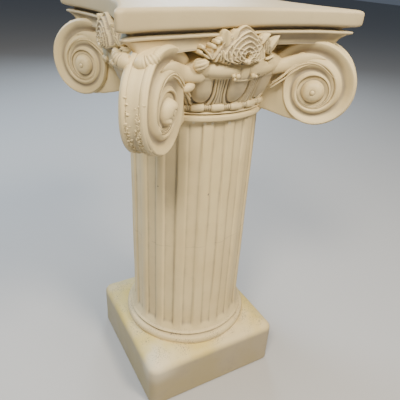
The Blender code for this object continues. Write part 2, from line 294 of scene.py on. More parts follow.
def plinth_point(point):
    """From a cube of half width 1 to the plinth, with rounded corners, edges and a crowned top."""
    # the cube's even rows are crowded towards its edges, where the roundings are
    x, y, z = (value * (1.5 - 0.5 * value * value) for value in point)
    reach = max(abs(x), abs(y), 1e-9)
    depth = (1.0 - reach) * PLINTH_HALF
    rounding = PLINTH_TOP_ROUNDING if z > 0 else PLINTH_FOOT_ROUNDING
    from_end = (1.0 - abs(z)) * PLINTH_HEIGHT / 2
    inside = (max(1.0 - gap / rounding, 0.0) for gap in (depth, from_end))
    out, up = rounded(*inside, rounding)
    if depth < rounding:
        depth = rounding - out
    if from_end < rounding:
        from_end = rounding - up
    half = PLINTH_HALF - depth
    corner = max(PLINTH_CORNER - depth, PLINTH_LEAST_CORNER)
    x, y = x / reach * half, y / reach * half
    inner_x = min(max(x, corner - half), half - corner)
    inner_y = min(max(y, corner - half), half - corner)
    off = Vector((x - inner_x, y - inner_y))
    if off.length > 1e-9:
        off = off.normalized() * max(abs(off.x), abs(off.y))
    height = PLINTH_HEIGHT / 2 + math.copysign(PLINTH_HEIGHT / 2 - from_end, z)
    crown = PLINTH_CROWN * ramp(depth, PLINTH_LEAST_CORNER, PLINTH_CROWN_WIDTH)
    crown *= ease(height / PLINTH_HEIGHT * 2 - 1)
    return Vector((inner_x + off.x, inner_y + off.y, height + crown))


bm = bmesh.new()
bmesh.ops.create_cube(bm, size=2.0)
bmesh.ops.subdivide_edges(bm, edges=bm.edges[:], cuts=PLINTH_CUTS, use_grid_fill=True)
for vert in bm.verts:
    spot = plinth_point(vert.co)
    shift = wave(spot, PLINTH_WAVE_SIZES[0], PLINTH_WAVE)
    shift += wave(spot, PLINTH_WAVE_SIZES[1], PLINTH_WAVE * PLINTH_FINE_SHARE)
    out = Vector((spot.x, spot.y, (spot.z - PLINTH_HEIGHT / 2) * 2)).normalized()
    worn = abs(shift) + PLINTH_WAVE * PLINTH_WORN_SHARE
    vert.co = spot - out * worn * ease(spot.z / PLINTH_WAVE_STARTS)
plinth_plaster = plaster_finish("plinth_plaster", PLASTER_YELLOW)
plinth = cast_piece(bm, "plinth", plinth_plaster, 2)
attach(plinth, "root")
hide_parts("column_pedestal")

# --- Fluted drum ---
# The round shaft of the column with its foot ring, cast in one with the plinth. Eighteen shallow
# flutes with soft, wandering walls run out slowly above the foot and end short below the neck.
PLASTER = (0.590, 0.462, 0.240, 1.0)
FRONT = 270.0
FLUTES = 18
FLUTE_DEPTH = 0.0034
FLUTE_PITCH = 360.0 / FLUTES
FLUTE_CROWN = 0.14
FLUTE_SLOPE = 3.2
FLUTE_WANDER = 0.9
FLUTE_WANDER_RATE = (3.7, 9.0)
FLUTE_FOOT = (0.1385, 0.016)
FLUTE_HEAD = (0.5945, -0.008)
FILLET_HALF = 2.6
FILLET_TURN = 4.0
FLUTE_STOPS = (
    -3.8, -3.3, -2.2, 0.0, 2.2, 3.3, 3.8, 4.15, 4.6, 5.4, 7.0, 10.0, 13.0, 14.6, 15.4, 15.85,
)
FOOT_PROFILE = (
    (0.1220, 0.1020), (0.1290, 0.1065), (0.1322, 0.1110), (0.1334, 0.1160), (0.1332, 0.1205),
    (0.1310, 0.1245), (0.1270, 0.1268), (0.1240, 0.1275), (0.1228, 0.1290), (0.1234, 0.1305),
    (0.1250, 0.1318), (0.1252, 0.1332), (0.1235, 0.1348), (0.1208, 0.1375), (0.1185, 0.1430),
    (0.1169, 0.1510), (0.1162, 0.1600),
)
SHAFT_TOP = 0.5960
SHAFT_TOP_RADIUS = 0.1178
SHAFT_ROWS = 60
SHAFT_WAVES = ((0.05, 0.0007), (0.018, 0.00025))
SHAFT_WAVE_STRETCH = 0.4


def smooth_run(points, pieces):
    """Points on a smooth curve through the given ones, with so many pieces to each span."""
    run = []
    for i in range(len(points) - 1):
        before, start = Vector(points[max(i - 1, 0)]), Vector(points[i])
        end, after = Vector(points[i + 1]), Vector(points[min(i + 2, len(points) - 1)])
        for j in range(pieces):
            t = j / pieces
            pull = (end - before) * t + (2 * before - 5 * start + 4 * end - after) * t * t
            run.append(start + (pull + (3 * start - before - 3 * end + after) * t ** 3) / 2)
    return run + [Vector(points[-1])]


def turned(profile, steps):
    """A profile of (radius, height) spun round the column's axis."""
    made = bmesh.new()
    points = [made.verts.new((radius, 0.0, height)) for radius, height in profile]
    edges = [made.edges.new(pair) for pair in zip(points, points[1:])]
    bmesh.ops.spin(
        made, geom=points + edges, cent=(0, 0, 0), axis=(0, 0, 1), angle=math.tau,
        steps=steps, use_merge=True,
    )
    return made


def polar(vert):
    """A point's angle in degrees round the column's axis and its radius."""
    return math.degrees(math.atan2(vert.co.y, vert.co.x)), math.hypot(vert.co.x, vert.co.y)


def set_round(vert, angle, radius):
    """Puts a point of a turned shape at this angle in degrees and this radius."""
    turn = math.radians(angle)
    vert.co.x = radius * math.cos(turn)
    vert.co.y = radius * math.sin(turn)


drum_profile = smooth_run(FOOT_PROFILE, 3)
rise = SHAFT_TOP - FOOT_PROFILE[-1][1]
shaft_columns = FLUTES * len(FLUTE_STOPS)
for i in range(1, SHAFT_ROWS + 1):
    drum_profile.append(Vector((
        FOOT_PROFILE[-1][0] + (SHAFT_TOP_RADIUS - FOOT_PROFILE[-1][0]) * i / SHAFT_ROWS,
        FOOT_PROFILE[-1][1] + rise * i / SHAFT_ROWS,
    )))
bm = turned(drum_profile, shaft_columns)
for vert in bm.verts:
    angle, radius = polar(vert)
    group, stop = divmod(round(angle / 360.0 * shaft_columns), len(FLUTE_STOPS))
    offset = FLUTE_STOPS[stop]
    length = ramp(vert.co.z, *FLUTE_FOOT) * ramp(vert.co.z, *FLUTE_HEAD)
    across, along = FLUTE_WANDER_RATE
    wander = FLUTE_WANDER * noise.noise((group * across, vert.co.z * along, 0.0))
    from_fillet = min(abs(offset), FLUTE_PITCH - offset) + wander
    middle = (offset - FLUTE_PITCH / 2) / (FLUTE_PITCH / 2)
    depth = FLUTE_DEPTH * ramp(from_fillet, FILLET_HALF, FLUTE_SLOPE)
    depth *= 1.0 - FLUTE_CROWN * middle * middle
    angle = FRONT + FILLET_TURN + group * FLUTE_PITCH + offset
    spot = (vert.co.x, vert.co.y, vert.co.z * SHAFT_WAVE_STRETCH)
    radius += sum(wave(spot, *each) for each in SHAFT_WAVES)
    set_round(vert, angle, radius - depth * length)
column_plaster = plaster_finish("column_plaster", PLASTER)
drum = cast_piece(bm, "fluted_drum", column_plaster, 3)
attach(drum, "root")
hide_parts("column_pedestal")

# --- Neck and bead course ---
# Plaster bands at the top of the drum: a flat collar, a small fillet, and a string of long beads
# parted by pairs of thin reels, all turned in the model and pressed in the one mould.
NECK_PROFILE = (
    (0.1150, 0.5900), (0.1212, 0.5914), (0.1244, 0.5924), (0.1254, 0.5940), (0.1257, 0.5968),
    (0.1255, 0.5990), (0.1247, 0.6004), (0.1224, 0.6012), (0.1210, 0.6020), (0.1212, 0.6032),
    (0.1232, 0.6040), (0.1241, 0.6050), (0.1238, 0.6062), (0.1218, 0.6070), (0.1210, 0.6080),
)
BEAD_BED = 0.1214
BEAD_ROWS = 16
BEAD_SPAN = 0.98
NECK_HEAD = ((0.1222, 0.6240), (0.1180, 0.6300))
BEAD_HEIGHT = 0.6152
BEAD_HALF_HEIGHT = 0.0072
BEAD_DEPTH = 0.0078
BEADS = 24
BEAD_END = 5.3
BEAD_TAPER = 0.22
CUTS = (5.3, 6.8)
CUT_HALF = 0.40
CUT_DEPTH = 0.30
NECK_TURN = 4.0
NECK_COLUMNS = 960
NECK_WAVE = (0.03, 0.0005)
NECK_SAG = (0.045, 0.0006)


def hump(gap, width):
    """1 in the middle, falling softly on either side."""
    return math.exp(-((gap / width) ** 2))


def dome(share):
    """The height of a round vault, 1 in the middle and 0 from the edge on."""
    return math.sqrt(max(1.0 - share * share, 0.0))


def bead_depth(around, height):
    """How far the beads and reels stand out of the band, with around in degrees from a bead."""
    pitch = 360.0 / BEADS
    off = abs((around + pitch / 2) % pitch - pitch / 2)
    cut = min(abs(off - place) for place in CUTS)
    size = 1.0 - CUT_DEPTH * hump(cut, CUT_HALF)
    size -= BEAD_TAPER * min(off / BEAD_END, 1.0) ** 4
    return BEAD_DEPTH * size * dome((height - BEAD_HEIGHT) / (BEAD_HALF_HEIGHT * size))


neck_profile = smooth_run(NECK_PROFILE, 3)
for i in range(BEAD_ROWS + 1):
    rise = BEAD_HEIGHT + BEAD_HALF_HEIGHT * (2.0 * i / BEAD_ROWS - 1.0) * BEAD_SPAN
    neck_profile.append(Vector((BEAD_BED, rise)))
neck_profile += [Vector(point) for point in NECK_HEAD]
bm = turned(neck_profile, NECK_COLUMNS)
for vert in bm.verts:
    angle, radius = polar(vert)
    spot = Vector(vert.co)
    radius += bead_depth(angle - FRONT - NECK_TURN, vert.co.z) + wave(spot, *NECK_WAVE)
    vert.co.z += wave(spot, *NECK_SAG)
    set_round(vert, angle, radius)
neck = cast_piece(bm, "neck_and_beads", column_plaster, 1)
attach(neck, "root")
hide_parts("column_pedestal")

# --- Bell with eggs and darts ---
# The swelling plaster bell of the capital: on each side three eggs in triple ribbed frames, with
# darts between them, crowded together by the scroll webs at the corners. All one with the cast.
BELL_FLARE = (
    (0.6195, 0.1200), (0.6230, 0.1226), (0.6330, 0.1280), (0.6430, 0.1325), (0.6530, 0.1365),
    (0.6620, 0.1400), (0.6680, 0.1425), (0.6740, 0.1400),
)
BELL_STEP = 0.0009
# Darker plaster for the bell: grime on its unwiped underside and painted shade on the eggs under the
# canopy.
PLASTER_GRIMED_AND_SHADED = (0.470, 0.372, 0.215, 1.0)
EGG_PITCH = 24.5
EGG_HALF = 7.2
EGG_MIDDLE = 0.6490
EGG_DROP = 0.0268
EGG_DEPTH = 0.0088
EGG_SQUARENESS = 2.2
EGG_CROWN = (2.6, 0.5)
FRAME_PINCH = 0.50
SLIT = (0.55, 0.45, 0.0050)
SLIT_FADE = 0.7
RIBS = ((1.60, 0.0058), (3.45, 0.0050))
RIB_HALF = 0.86
DART_DEPTH = 0.0050
DART_HALF = 0.95
DART_FLARE = 1.6
DART_GAP = 0.3
BELL_DENSE = 36.0
BELL_DENSE_STEP = 0.25
BELL_CORNER_COLUMNS = 6
BELL_WAVE = (0.03, 0.004)


def egg_depth(around, height):
    """Relief of the egg-and-dart course, with around in degrees from the middle of a side."""
    near = min(abs(abs(around) - middle) for middle in (0.0, EGG_PITCH))
    down = max((EGG_MIDDLE - height) / EGG_DROP, 0.0)
    side = near / EGG_HALF
    reach = (side ** EGG_SQUARENESS + down ** EGG_SQUARENESS) ** (1.0 / EGG_SQUARENESS)
    if reach < 1.0:
        return EGG_DEPTH * (1.0 - reach ** EGG_CROWN[0]) ** EGG_CROWN[1]
    under = down / (side + down)
    beyond = (reach - 1.0) * EGG_HALF * (1.0 - FRAME_PINCH * under)
    middle, width, depth = SLIT
    best = -depth * hump(beyond - middle, width)
    best *= 1.0 - SLIT_FADE * min(down, 1.0)
    for middle, proud in RIBS:
        best = max(best, proud * dome((beyond - middle) / RIB_HALF))
    from_dart = abs(abs(around) - EGG_PITCH / 2) / (DART_HALF + DART_FLARE * down * down)
    if from_dart < 1.0 and beyond > RIBS[-1][0] + DART_GAP:
        best = max(best, DART_DEPTH * dome(from_dart))
    return best


bell_flare = smooth_run(BELL_FLARE, 4)
heights = [point.x for point in bell_flare]
radii = [point.y for point in bell_flare]
rows = round((heights[-1] - heights[0]) / BELL_STEP)
bell_profile = []
for i in range(rows + 1):
    height = heights[0] + (heights[-1] - heights[0]) * i / rows
    bell_profile.append((float(np.interp(height, heights, radii)), height))
bell_angles = []
for side in range(4):
    dense = round(2 * BELL_DENSE / BELL_DENSE_STEP)
    for i in range(dense):
        bell_angles.append(side * 90.0 - BELL_DENSE + i * BELL_DENSE_STEP)
    for i in range(BELL_CORNER_COLUMNS):
        gap = 90.0 - 2 * BELL_DENSE
        bell_angles.append(side * 90.0 + BELL_DENSE + gap * i / BELL_CORNER_COLUMNS)
bm = turned(bell_profile, len(bell_angles))
for vert in bm.verts:
    angle, radius = polar(vert)
    around = bell_angles[round(angle / 360.0 * len(bell_angles)) % len(bell_angles)]
    side_around = (around + 45.0) % 90.0 - 45.0
    set_round(vert, FRONT + around, radius + egg_depth(side_around, vert.co.z))
    vert.co += Vector((vert.co.x, vert.co.y, 0.0)) * wave(vert.co, *BELL_WAVE)
# The whole bell is painted darker: partly grime, partly painted shade under the canopy.
bell_plaster = plaster_finish("bell_plaster", PLASTER_GRIMED_AND_SHADED)
bell = cast_piece(bm, "egg_and_dart_bell", bell_plaster, 2)
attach(bell, "root")
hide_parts("column_pedestal")

# --- Canopy over the eggs ---
# A smooth roll of plaster that overhangs the eggs in two cushions to a side. Between them it sags
# to a lipped tongue with two or three small curls on either hand, and drill holes pierce its right.
CANOPY_PROFILE = (
    (0.1330, 0.0040), (0.1390, 0.0016), (0.1440, 0.0004), (0.1468, 0.0000), (0.1488, 0.0008),
    (0.1512, 0.0030), (0.1540, 0.0064), (0.1558, 0.0106), (0.1560, 0.0156), (0.1536, 0.0214),
    (0.1482, 0.0280), (0.1410, 0.0350), (0.1330, 0.0430),
)
CANOPY_FOOT = 0.6652
CANOPY_COLUMNS = 720
CANOPY_WAVE = (0.03, 0.0007)
TONGUE_HALF = 7.6
TONGUE_DROP = 0.0052
TONGUE_FADE = 0.016
TONGUE_FOLD = (3.0, 1.1, 0.0014)
FOLD_RISES = (0.001, 0.005)
FOLD_SINKS = (0.024, -0.012)
CUSHION = (12.0, 9.5, 0.0026)
LIP = (0.0014, 0.0013, 0.0016)
LIP_FADE = 0.8
CURLS = (
    # degrees from a side's middle, height, size
    (-5.0, 0.6705, 0.0038), (-7.6, 0.6712, 0.0032), (4.6, 0.6700, 0.0038), (6.9, 0.6684, 0.0027),
    (-6.8, 0.6660, 0.0025),
)
CURL_RADIUS = 0.1566
DRILL_HOLES = ((10.2, 0.0036), (15.2, 0.0024))
DRILL_RADIUS = 0.0013
DRILL_DEPTH = 0.0032
UNDERSIDE_RADIUS = (0.139, 0.006)
UNDERSIDE_RISE = 0.005


def canopy_relief(around, rise):
    """Relief of the canopy at a place in degrees from a side's middle and above its edge."""
    off = abs(around)
    middle, width, proud = CUSHION
    swell = max(math.cos((off - middle) / width * math.pi / 2), 0.0)
    relief = proud * swell if off < middle + width else 0.0
    middle, width, depth = TONGUE_FOLD
    above = ramp(rise, *FOLD_RISES) * ramp(rise, *FOLD_SINKS)
    relief -= depth * hump(off - middle, width) * above
    middle, width, proud = LIP
    along_lip = 1.0 - ramp(off, TONGUE_HALF - LIP_FADE, 2.0 * LIP_FADE)
    relief += proud * hump(rise - middle, width) * along_lip
    arc = math.radians(1.0) * CURL_RADIUS
    for place, up in DRILL_HOLES:
        hole = math.hypot((around - place) * arc, rise - up) / DRILL_RADIUS
        relief -= DRILL_DEPTH * math.exp(-(hole ** 4))
    return relief


canopy_profile = smooth_run(CANOPY_PROFILE, 5)
bm = turned(canopy_profile, CANOPY_COLUMNS)
for vert in bm.verts:
    angle, radius = polar(vert)
    around = (angle - FRONT + 45.0) % 90.0 - 45.0
    rise = vert.co.z
    outer = ramp(radius, *UNDERSIDE_RADIUS) if rise < UNDERSIDE_RISE else 1.0
    sag = TONGUE_DROP * dome(around / TONGUE_HALF)
    radius += canopy_relief(around, rise) * outer
    vert.co.z = CANOPY_FOOT + rise - sag * (1.0 - ease(rise / TONGUE_FADE))
    radius += wave(vert.co, *CANOPY_WAVE)
    set_round(vert, angle, radius)
for side in range(4):
    for around, height, size in CURLS:
        curl = bmesh.ops.create_icosphere(bm, subdivisions=3, radius=size)["verts"]
        turn = math.radians(FRONT + side * 90.0 + around)
        middle = Vector((CURL_RADIUS * math.cos(turn), CURL_RADIUS * math.sin(turn), height))
        bmesh.ops.translate(bm, verts=curl, vec=middle)
canopy = cast_piece(bm, "rolled_canopy", column_plaster, 2)
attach(canopy, "root")
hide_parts("column_pedestal")

# --- Corner scrolls ---
# Four volutes under the slab's corners, each two spiral faces back to back with a ribbon between
# their rims, on thick webs from the bell, all of the same cast. The nearest one sagged in its
# mould: it is longer, its eye is swollen, and a crust of crumbs roughens its ribbon.
EYE_OUT = 0.2076
EYE_HEIGHT = 0.638
SPIRAL_START = 150.0
SPIRAL_STEP = 3.0
SPIRAL_STEPS = 230
STEPS_ROUND = 120
SPIRAL_RADII = (
    (0.0, 0.0860), (60.0, 0.0773), (120.0, 0.0688), (180.0, 0.0608), (240.0, 0.0536),
    (290.0, 0.0482), (325.0, 0.0472), (360.0, 0.0500), (385.0, 0.0484), (406.0, 0.0456),
    (430.0, 0.0414), (468.0, 0.0366), (510.0, 0.0328), (555.0, 0.0300), (600.0, 0.0282),
    (650.0, 0.0266), (690.0, 0.0250),
)
EYE_RADIUS = 0.0250
FACE_OFFSET = 0.0245
FACE_SPLAY = 0.115
TOP_PINCH = 0.006
TOP_PINCH_ANGLE = 80.0
TOP_PINCH_WIDTH = 40.0
WHORL_FULL_WIDTH = 0.034
WHORL_SINKS = 0.006
WHORL_STEP_FADES = (440.0, 90.0)
WHORL_STEP_LOST = 0.8
WHORL_STEP_SHARE = 0.45
WHORL_END_SHARPNESS = 12
GROOVE = -0.0026
WHORL_SECTION = (
    (0.0, 0.0), (0.03, 0.0018), (0.07, 0.0024), (0.13, 0.0018), (0.22, 0.0002), (0.32, -0.0022),
    (0.42, -0.0048), (0.52, -0.0064), (0.62, -0.0058), (0.72, -0.0020), (0.80, 0.0010),
    (0.88, 0.0024), (0.95, 0.0018), (1.0, GROOVE),
)
EYE_SECTION = (
    (1.0, GROOVE), (0.94, -0.0031), (0.86, -0.0035), (0.79, -0.0035), (0.74, -0.0028),
    (0.69, 0.0000), (0.63, 0.0032), (0.53, 0.0060), (0.41, 0.0077), (0.29, 0.0085),
    (0.20, 0.0086), (0.165, 0.0083), (0.14, 0.0096), (0.08, 0.0109), (0.0, 0.0113),
)
RIBBON_SECTION = (
    (0.0, 0.0), (0.04, 0.0013), (0.10, 0.0017), (0.17, 0.0012), (0.215, 0.0004), (0.235, -0.0004),
    (0.26, -0.0002), (0.36, -0.0004), (0.5, -0.0008),
)
SCROLL_WAVE = (0.03, 0.0006)
NEAR_CORNER = 225.0
NEAR_STRETCH = 1.09
STRETCH_FROM = 0.713
NEAR_SWELLINGS = (
    # out from the eye, up from the eye, size, and how far proud on the nearest scroll's faces
    (-0.0040, 0.0000, 0.0150, 0.0042), (0.0080, -0.0190, 0.0052, -0.0042),
    (0.0235, -0.0260, 0.0060, -0.0030), (-0.0010, -0.0260, 0.0070, 0.0016),
    (0.0, -0.0068, 0.0044, -0.0031),
)
SCABS = 700
SCAB_EDGES = ((0.22, 0.08), (0.80, 0.08))
SCAB_FIRST_EDGE = 0.68
SCAB_ACROSS = 222.0
SCAB_ACROSS_SHARES = (0.10, 0.90)
SCAB_LIMITS = (0.06, 0.94)
SCAB_SUNK = 0.40
SCAB_LUMPS = (0.9, 1.9, 900.0)
SCAB_SEED = 5
SCAB_SIZES = (0.0008, 0.0034, 0.0013)
SCAB_TURNS = (120.0, 278.0, 222.0)
WEB_HALF = 0.0205
WEB_ROUNDING = 0.004
WEB_OUTLINE = (
    (0.098, 0.5995), (0.120, 0.5990), (0.136, 0.5965), (0.152, 0.5925), (0.168, 0.5885),
    (0.182, 0.5870), (0.196, 0.5900), (0.200, 0.6400), (0.196, 0.6900), (0.150, 0.7050),
    (0.098, 0.7050),
)


def sheet(made, columns, rows, place):
    """A grid of faces whose corner (i, j) stands at place(i, j)."""
    for vert in bmesh.ops.create_grid(made, x_segments=columns, y_segments=rows, size=0.5)["verts"]:
        vert.co = place(round((vert.co.x + 0.5) * columns), round((vert.co.y + 0.5) * rows))


def verts_of(items):
    return [item for item in items["geom"] if isinstance(item, bmesh.types.BMVert)]


def turned_copies(made, count):
    """Copies everything round the column's axis, count in all."""
    source = made.verts[:] + made.edges[:] + made.faces[:]
    for i in range(1, count):
        verts = verts_of(bmesh.ops.duplicate(made, geom=source))
        turn = Matrix.Rotation(i * math.tau / count, 3, "Z")
        bmesh.ops.rotate(made, verts=verts, cent=(0, 0, 0), matrix=turn)


def copied_across(made):
    """Mirrors everything across the corner's diagonal, for the scroll's other face."""
    source = made.verts[:] + made.edges[:] + made.faces[:]
    verts = verts_of(bmesh.ops.duplicate(made, geom=source))
    bmesh.ops.scale(made, vec=(1, -1, 1), verts=verts)


def stretched(height):
    """The height on the nearest corner of what has this height on the others."""
    return STRETCH_FROM - (STRETCH_FROM - height) * NEAR_STRETCH


def stand_at_corners(made):
    """Turns what lies along +X on to the four diagonals, and lengthens the nearest copy."""
    turn = Matrix.Rotation(math.pi / 4, 3, "Z")
    bmesh.ops.rotate(made, verts=made.verts, cent=(0, 0, 0), matrix=turn)
    turned_copies(made, 4)
    for vert in made.verts:
        if vert.co.x < 0.0 and vert.co.y < 0.0 and vert.co.z < STRETCH_FROM:
            vert.co.z = stretched(vert.co.z)


spiral_run = smooth_run(SPIRAL_RADII, 8)
spiral_turns = [point.x for point in spiral_run]
spiral_reach = [point.y for point in spiral_run]


def spiral_radius(turn):
    if turn >= spiral_turns[-1]:
        return EYE_RADIUS
    return float(np.interp(turn, spiral_turns, spiral_reach))


def scroll_point(radius, degrees, relief):
    """A point of a scroll's face, +X out along the corner's diagonal and +Y across it."""
    angle = math.radians(degrees)
    out = radius * math.cos(angle)
    from_pinch = (degrees - TOP_PINCH_ANGLE + 180.0) % 360.0 - 180.0
    pinch = TOP_PINCH * hump(from_pinch, TOP_PINCH_WIDTH)
    pinch *= (radius / SPIRAL_RADII[0][1]) ** 2
    return Vector((EYE_OUT + out, FACE_OFFSET - FACE_SPLAY * out - pinch + relief,
                   EYE_HEIGHT + radius * math.sin(angle)))


whorl_section = smooth_run(WHORL_SECTION, 2)
eye_section = smooth_run(EYE_SECTION, 2)
ribbon_section = smooth_run(RIBBON_SECTION, 2)
ribbon_section += [Vector((1.0 - point.x, point.y)) for point in reversed(ribbon_section[:-1])]


def whorl_point(i, j):
    """Row 0 is the foot of the step from the groove up to the inner turn, or the rim itself."""
    turn = SPIRAL_STEP * i
    outer = spiral_radius(turn)
    inner = spiral_radius(turn + 360.0)
    if j == 0:
        return scroll_point(outer, SPIRAL_START - turn, GROOVE if turn >= 360.0 else 0.0)
    share, relief = whorl_section[j - 1]
    fade = min((outer - inner) / WHORL_FULL_WIDTH, 1.0)
    sink = max(1.0 - (outer - inner) / WHORL_SINKS, 0.0)
    end = share ** WHORL_END_SHARPNESS
    relief = relief * fade + GROOVE * (end * (1.0 - fade) + (1.0 - end) * sink)
    if turn >= 360.0:
        softened = WHORL_STEP_LOST * ramp(turn, *WHORL_STEP_FADES)
        relief += GROOVE * softened * (1.0 - sink) * (1.0 - ease(share / WHORL_STEP_SHARE))
    return scroll_point(outer + (inner - outer) * share, SPIRAL_START - turn, relief)


def eye_point(i, j):
    share, relief = eye_section[j]
    return scroll_point(EYE_RADIUS * share, SPIRAL_START - SPIRAL_STEP * i, relief)


def ribbon_point(i, j):
    """Across the ribbon from one rim to the other, and along it from the slab round and under."""
    turn = SPIRAL_STEP * i
    share, proud = ribbon_section[j]
    outer = spiral_radius(turn)
    rim = scroll_point(outer, SPIRAL_START - turn, 0.0)
    bulged = scroll_point(outer + proud, SPIRAL_START - turn, 0.0)
    return Vector((bulged.x, rim.y * (1.0 - 2.0 * share), bulged.z))


def swollen(spot):
    """How far the nearest scroll's faces and ribbon stand out at a point of the cast."""
    out = -(spot.x + spot.y) / math.sqrt(2.0) - EYE_OUT
    up = spot.z - EYE_HEIGHT
    across = (spot.x - spot.y) / math.sqrt(2.0)
    proud = 0.0
    for middle_out, middle_up, size, height in NEAR_SWELLINGS:
        proud += height * hump(math.hypot(out - middle_out, up - middle_up), size)
    return Vector((1.0, -1.0, 0.0)) / math.sqrt(2.0) * math.copysign(proud, across)


def ribbon_crust():
    """Crumbs along both edges of the nearest ribbon's lower half, and all across it below."""
    made = bmesh.new()
    chance = random.Random(SCAB_SEED)
    corner = Matrix.Rotation(math.radians(NEAR_CORNER), 3, "Z")
    height, coarse, unlike = SCAB_LUMPS
    for _ in range(SCABS):
        turn = chance.triangular(*SCAB_TURNS)
        edge = SCAB_EDGES[0] if chance.random() < SCAB_FIRST_EDGE else SCAB_EDGES[1]
        share = chance.gauss(*edge)
        if turn > SCAB_ACROSS:
            share = chance.uniform(*SCAB_ACROSS_SHARES)
        share = min(max(share, SCAB_LIMITS[0]), SCAB_LIMITS[1])
        size = chance.triangular(*SCAB_SIZES)
        rim = scroll_point(spiral_radius(turn) - SCAB_SUNK * size, SPIRAL_START - turn, 0.0)
        spot = corner @ Vector((rim.x, rim.y * (1.0 - 2.0 * share), rim.z))
        spot.z = stretched(spot.z)
        crumb = bmesh.ops.create_icosphere(made, subdivisions=2, radius=1.0)["verts"]
        for vert in crumb:
            lumpy = 1.0 + height * noise.noise(vert.co * coarse + spot * unlike)
            vert.co = spot + Vector(vert.co) * size * lumpy
    return made


bm = bmesh.new()
sheet(bm, SPIRAL_STEPS, len(whorl_section), whorl_point)
sheet(bm, STEPS_ROUND, len(eye_section) - 1, eye_point)
copied_across(bm)
sheet(bm, STEPS_ROUND, len(ribbon_section) - 1, ribbon_point)
stand_at_corners(bm)
for vert in bm.verts:
    spot = Vector(vert.co)
    place = spot / SCROLL_WAVE[0]
    shift = Vector((noise.noise(place), noise.noise(place + Vector((7, 3, 1))), 0.0))
    vert.co += shift * SCROLL_WAVE[1]
    if spot.x < 0.0 and spot.y < 0.0:
        vert.co += swollen(spot)
scrolls = cast_piece(bm, "corner_scrolls", column_plaster, 2)
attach(scrolls, "root")
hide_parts("column_pedestal")

crust = cast_piece(ribbon_crust(), "ribbon_crust", column_plaster, 1)
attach(crust, "root")
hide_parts("column_pedestal")

web_outline = smooth_run(WEB_OUTLINE, 3)
bm = bmesh.new()
bm.faces.new([bm.verts.new((out, -WEB_HALF, height)) for out, height in web_outline])
moved = verts_of(bmesh.ops.extrude_face_region(bm, geom=bm.faces[:]))
bmesh.ops.translate(bm, vec=(0, 2 * WEB_HALF, 0), verts=moved)
rims = [edge for edge in bm.edges if abs(edge.verts[0].co.y - edge.verts[1].co.y) < 1e-6]
bmesh.ops.bevel(
    bm, geom=rims, offset=WEB_ROUNDING, segments=4, profile=0.5, affect="EDGES", material=-1,
)
stand_at_corners(bm)
webs = cast_piece(bm, "scroll_webs", column_plaster, 1)
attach(webs, "root")
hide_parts("column_pedestal")

# --- Slab ---
# The top slab with four hollowed sides and narrow horns: a deep plain band over an undercut, a
# thin fillet and a hollow bed moulding. The cast shrank unevenly, so it sits slightly turned.
SLAB_TOP = 0.763
SLAB_HALF_SIDE = 0.1840
SLAB_HORN_REACH = 0.1885
SLAB_HOLLOW = 0.035
SLAB_PIECES = 48
SLAB_DULLNESS = 0.40
SIDE_WAVE = (0.05, 0.0008)
TOP_WAVE = (0.06, 0.0007)
TOP_WAVE_ENDS = (0.765, -0.02)
TOP_SUNK = 0.0002
SLAB_PROFILE = (
    (0.0450, 0.7060), (0.0165, 0.7060), (0.0152, 0.7074), (0.0144, 0.7110), (0.0132, 0.7150),
    (0.0108, 0.7192), (0.0084, 0.7222), (0.0070, 0.7234), (0.0054, 0.7240), (0.0047, 0.7254),
    (0.0050, 0.7268), (0.0066, 0.7277), (0.0100, 0.7284), (0.0124, 0.7296), (0.0122, 0.7314),
    (0.0092, 0.7332), (0.0052, 0.7344), (0.0018, 0.7358), (0.0004, 0.7378), (0.0000, 0.7420),
    (0.0000, 0.7560), (0.0006, 0.7594), (0.0020, 0.7616), (0.0044, 0.7627), (0.0080, 0.7630),
)
TOP_RINGS = (0.90, 0.78, 0.64, 0.48, 0.30, 0.12, 0.0)
TWIST = -2.2
NEAR_TWIST = -2.3
TWIST_FROM = 0.690
TWIST_TO = 0.725
RIGHT_CORNER = 315.0
RIGHT_LIFT = 0.005
LIFT_TO = 0.740
NEAR_DROOP = 0.0050
DROOP_HALF_ANGLE = 9.0
DROOP_FROM = 0.7236
DROOP_DEPTH = 0.0176


def slab_plan(index, inset):
    """A point of the slab's plan: four hollowed sides that meet in narrow cut horns."""
    side, place = divmod(index, SLAB_PIECES + 1)
    end = SLAB_HALF_SIDE - inset / (1.0 - 2.0 * SLAB_HOLLOW / SLAB_HALF_SIDE)
    along = end * (2.0 * place / SLAB_PIECES - 1.0)
    hollow = SLAB_HOLLOW * (1.0 - (along / SLAB_HALF_SIDE) ** 2)
    point = Vector((along, -(SLAB_HORN_REACH - inset - hollow), 0.0))
    return Matrix.Rotation(side * math.tau / 4, 3, "Z") @ point


def towards(point, angle):
    """1 in the direction of the angle, falling to 0 a quarter turn away from it."""
    return max(math.cos(math.atan2(point.y, point.x) - math.radians(angle)), 0.0) ** 2


def racked(point):
    """Where a point of the true slab ends up in the uneven cast."""
    share = min(max((point.z - TWIST_FROM) / (TWIST_TO - TWIST_FROM), 0.0), 1.0)
    turn = TWIST + NEAR_TWIST * towards(point, NEAR_CORNER)
    fade = min(max((SLAB_TOP - point.z) / (SLAB_TOP - LIFT_TO), 0.0), 1.0)
    lift = RIGHT_LIFT * towards(point, RIGHT_CORNER) * fade
    aside = math.degrees(math.atan2(point.y, point.x)) % 360.0 - NEAR_CORNER
    droop = NEAR_DROOP * hump(aside, DROOP_HALF_ANGLE)
    droop *= min(max((DROOP_FROM - point.z) / DROOP_DEPTH, 0.0), 1.0)
    moved = Matrix.Rotation(math.radians(turn * share), 3, "Z") @ point
    return Vector((moved.x, moved.y, moved.z + lift - droop))


slab_profile = smooth_run(SLAB_PROFILE, 2)
slab_columns = 4 * (SLAB_PIECES + 1)


